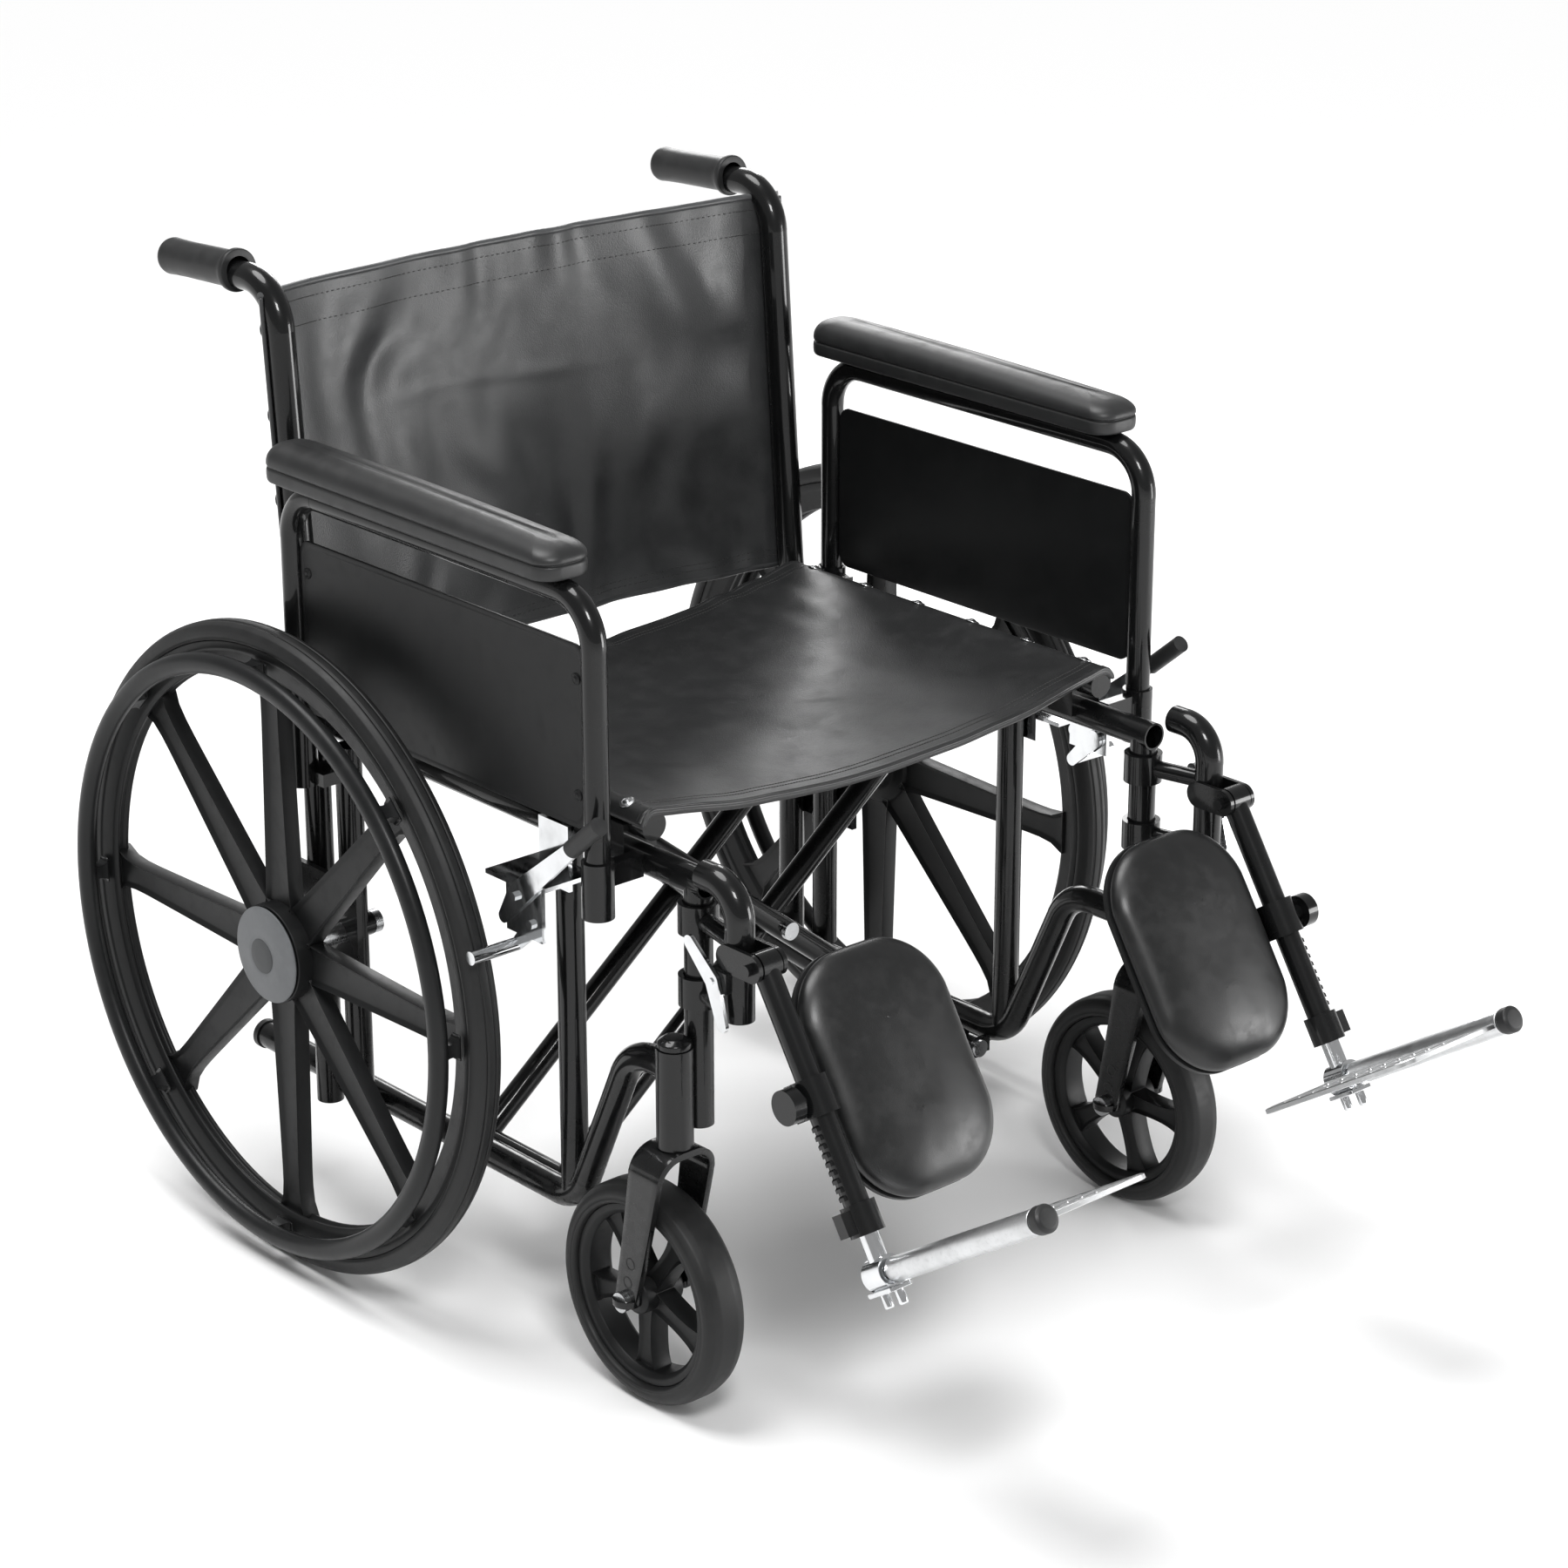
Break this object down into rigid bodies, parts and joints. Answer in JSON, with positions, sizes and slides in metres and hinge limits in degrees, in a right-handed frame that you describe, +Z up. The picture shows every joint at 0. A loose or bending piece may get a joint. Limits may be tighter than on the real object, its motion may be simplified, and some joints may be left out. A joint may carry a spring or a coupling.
{
  "type": "manual wheelchair",
  "caption": "Heavy-duty folding manual wheelchair with double cross brace, lift-off padded arms, spoked rear wheels with handrims, casters and elevating legrests.",
  "frame": {"origin": "on the floor, midway between the left and right sides and midway between the rear tyre and the toe stop", "axes": "+X to the sitter's left, -Y forward, +Z up"},
  "size_m": [0.821, 1.1891, 0.9091],
  "materials": {
    "frame_paint": "gloss",
    "cap_rubber": "matte",
    "grip_rubber": "matte",
    "upholstery": "satin",
    "bright_metal": "polished",
    "axle_steel": "satin",
    "wheel_plastic": "satin",
    "handrim_plastic": "satin",
    "tyre": "matte",
    "hub_cap_plastic": "satin",
    "pad_vinyl": "satin",
    "panel_plastic": "matte",
    "footplate_alloy": "satin"
  },
  "bodies": {
    "right_frame": {"right_side_frame": "frame_paint", "right_frame_cap": "cap_rubber", "right_push_grip": "grip_rubber", "right_back": "upholstery", "right_brake_bracket": "bright_metal", "right_rear_axle": "axle_steel"},
    "right_brake_lever": {"right_brake_lever": "bright_metal", "right_brake_grip": "grip_rubber"},
    "right_brake_shoe": {"right_brake_shoe": "bright_metal"},
    "right_rear_wheel": {"right_rear_wheel": "wheel_plastic", "right_rear_tyre": "tyre", "right_handrim": "handrim_plastic", "right_hub_cap": "hub_cap_plastic"},
    "right_caster_fork": {"right_caster_fork": "frame_paint", "right_caster_axle": "axle_steel"},
    "right_caster_wheel": {"right_caster_wheel": "wheel_plastic", "right_caster_tyre": "tyre"},
    "right_arm": {"right_arm_frame": "frame_paint", "right_arm_pad": "pad_vinyl", "right_side_panel": "panel_plastic"},
    "right_hanger": {"right_hanger": "frame_paint"},
    "right_release_lever": {"right_release_lever": "bright_metal"},
    "right_leg": {"right_leg_tube": "frame_paint"},
    "right_foot_extension": {"right_foot_extension": "bright_metal"},
    "right_footplate": {"right_footplate": "footplate_alloy"},
    "right_calf": {"right_calf_bracket": "frame_paint", "right_calf_pad": "pad_vinyl"},
    "left_frame": {"left_side_frame": "frame_paint", "left_frame_cap": "cap_rubber", "left_push_grip": "grip_rubber", "left_back": "upholstery", "left_brake_bracket": "bright_metal", "left_rear_axle": "axle_steel", "left_brace_pin": "axle_steel"},
    "left_brake_lever": {"left_brake_lever": "bright_metal", "left_brake_grip": "grip_rubber"},
    "left_brake_shoe": {"left_brake_shoe": "bright_metal"},
    "left_rear_wheel": {"left_rear_wheel": "wheel_plastic", "left_rear_tyre": "tyre", "left_handrim": "handrim_plastic", "left_hub_cap": "hub_cap_plastic"},
    "left_caster_fork": {"left_caster_fork": "frame_paint", "left_caster_axle": "axle_steel"},
    "left_caster_wheel": {"left_caster_wheel": "wheel_plastic", "left_caster_tyre": "tyre"},
    "left_arm": {"left_arm_frame": "frame_paint", "left_arm_pad": "pad_vinyl", "left_side_panel": "panel_plastic"},
    "left_hanger": {"left_hanger": "frame_paint"},
    "left_release_lever": {"left_release_lever": "bright_metal"},
    "left_leg": {"left_leg_tube": "frame_paint"},
    "left_foot_extension": {"left_foot_extension": "bright_metal"},
    "left_footplate": {"left_footplate": "footplate_alloy"},
    "left_calf": {"left_calf_bracket": "frame_paint", "left_calf_pad": "pad_vinyl"},
    "brace_a": {"brace_a": "frame_paint", "brace_bolts": "axle_steel", "seat_left": "upholstery"},
    "brace_b": {"brace_b": "frame_paint", "seat_right": "upholstery"}
  },
  "joints": [
    {"name": "fold", "type": "hinge", "parent": "right_frame", "child": "brace_a", "pos_m": [-0.238, 0, 0.118], "axis": [0, -1, 0], "range_deg": [0, 25], "deforming": ["seat_left", "seat_right", "right_back", "left_back"]},
    {"name": "brace_cross", "type": "hinge", "parent": "brace_a", "child": "brace_b", "pos_m": [0, 0, 0.305], "axis": [0, -1, 0], "range_deg": [-50, 0]},
    {"name": "left_frame_follow", "type": "hinge", "parent": "brace_b", "child": "left_frame", "pos_m": [0.238, 0, 0.118], "axis": [0, -1, 0], "range_deg": [0, 25]},
    {"name": "right_wheel_spin", "type": "hinge", "parent": "right_frame", "child": "right_rear_wheel", "pos_m": [-0.369, 0.28959, 0.305], "axis": [1, 0, 0], "continuous": true},
    {"name": "right_caster_swivel", "type": "hinge", "parent": "right_frame", "child": "right_caster_fork", "pos_m": [-0.2935, -0.16541, 0.29], "axis": [0, 0, 1], "continuous": true},
    {"name": "right_caster_spin", "type": "hinge", "parent": "right_caster_fork", "child": "right_caster_wheel", "pos_m": [-0.2935, -0.13441, 0.1015], "axis": [1, 0, 0], "continuous": true},
    {"name": "right_brake_lever_turn", "type": "hinge", "parent": "right_frame", "child": "right_brake_lever", "pos_m": [-0.341, -0.02141, 0.446], "axis": [1, 0, 0], "range_deg": [0, 32]},
    {"name": "right_brake_shoe_turn", "type": "hinge", "parent": "right_frame", "child": "right_brake_shoe", "pos_m": [-0.341, -0.03741, 0.424], "axis": [1, 0, 0], "range_deg": [0, 6.4]},
    {"name": "right_arm_lift", "type": "slide", "parent": "right_frame", "child": "right_arm", "axis": [0, 0, 1], "range_m": [0, 0.12]},
    {"name": "right_legrest_swing", "type": "hinge", "parent": "right_frame", "child": "right_hanger", "pos_m": [-0.266, -0.16541, 0.42], "axis": [0, 0, -1], "range_deg": [0, 60]},
    {"name": "right_release_lever_turn", "type": "hinge", "parent": "right_hanger", "child": "right_release_lever", "pos_m": [-0.3007, -0.22341, 0.421], "axis": [1, 0, 0], "range_deg": [0, 18], "stiffness_Nm_per_rad": 0.3},
    {"name": "right_leg_elevate", "type": "hinge", "parent": "right_hanger", "child": "right_leg", "pos_m": [-0.28, -0.26341, 0.442], "axis": [-1, 0, 0], "range_deg": [0, 55]},
    {"name": "right_foot_extend", "type": "slide", "parent": "right_leg", "child": "right_foot_extension", "axis": [0, -0.5446, -0.8387], "range_m": [0, 0.09]},
    {"name": "right_footplate_flip", "type": "hinge", "parent": "right_foot_extension", "child": "right_footplate", "pos_m": [-0.28, -0.50054, 0.27882], "axis": [0, -0.8387, 0.5446], "range_deg": [0, 90]},
    {"name": "right_calf_swing", "type": "hinge", "parent": "right_leg", "child": "right_calf", "pos_m": [-0.28, -0.3255, 0.34639], "axis": [0, 0.5446, 0.8387], "range_deg": [0, 45]},
    {"name": "left_wheel_spin", "type": "hinge", "parent": "left_frame", "child": "left_rear_wheel", "pos_m": [0.369, 0.28959, 0.305], "axis": [1, 0, 0], "continuous": true},
    {"name": "left_caster_swivel", "type": "hinge", "parent": "left_frame", "child": "left_caster_fork", "pos_m": [0.2935, -0.16541, 0.29], "axis": [0, 0, 1], "continuous": true},
    {"name": "left_caster_spin", "type": "hinge", "parent": "left_caster_fork", "child": "left_caster_wheel", "pos_m": [0.2935, -0.13441, 0.1015], "axis": [1, 0, 0], "continuous": true},
    {"name": "left_brake_lever_turn", "type": "hinge", "parent": "left_frame", "child": "left_brake_lever", "pos_m": [0.341, -0.02141, 0.446], "axis": [1, 0, 0], "range_deg": [0, 32]},
    {"name": "left_brake_shoe_turn", "type": "hinge", "parent": "left_frame", "child": "left_brake_shoe", "pos_m": [0.341, -0.03741, 0.424], "axis": [1, 0, 0], "range_deg": [0, 6.4]},
    {"name": "left_arm_lift", "type": "slide", "parent": "left_frame", "child": "left_arm", "axis": [0, 0, 1], "range_m": [0, 0.12]},
    {"name": "left_legrest_swing", "type": "hinge", "parent": "left_frame", "child": "left_hanger", "pos_m": [0.266, -0.16541, 0.42], "axis": [0, 0, 1], "range_deg": [0, 60]},
    {"name": "left_release_lever_turn", "type": "hinge", "parent": "left_hanger", "child": "left_release_lever", "pos_m": [0.3007, -0.22341, 0.421], "axis": [1, 0, 0], "range_deg": [0, 18], "stiffness_Nm_per_rad": 0.3},
    {"name": "left_leg_elevate", "type": "hinge", "parent": "left_hanger", "child": "left_leg", "pos_m": [0.28, -0.26341, 0.442], "axis": [-1, 0, 0], "range_deg": [0, 55]},
    {"name": "left_foot_extend", "type": "slide", "parent": "left_leg", "child": "left_foot_extension", "axis": [0, -0.5446, -0.8387], "range_m": [0, 0.09]},
    {"name": "left_footplate_flip", "type": "hinge", "parent": "left_foot_extension", "child": "left_footplate", "pos_m": [0.28, -0.50054, 0.27882], "axis": [0, 0.8387, -0.5446], "range_deg": [0, 90]},
    {"name": "left_calf_swing", "type": "hinge", "parent": "left_leg", "child": "left_calf", "pos_m": [0.28, -0.3255, 0.34639], "axis": [0, -0.5446, -0.8387], "range_deg": [0, 45]}
  ],
  "couplings": [
    {"joint": "brace_cross", "follows": "fold", "ratio": -2},
    {"joint": "left_frame_follow", "follows": "fold", "ratio": 1},
    {"joint": "right_brake_shoe_turn", "follows": "right_brake_lever_turn", "ratio": 0.2},
    {"joint": "left_brake_shoe_turn", "follows": "left_brake_lever_turn", "ratio": 0.2}
  ]
}
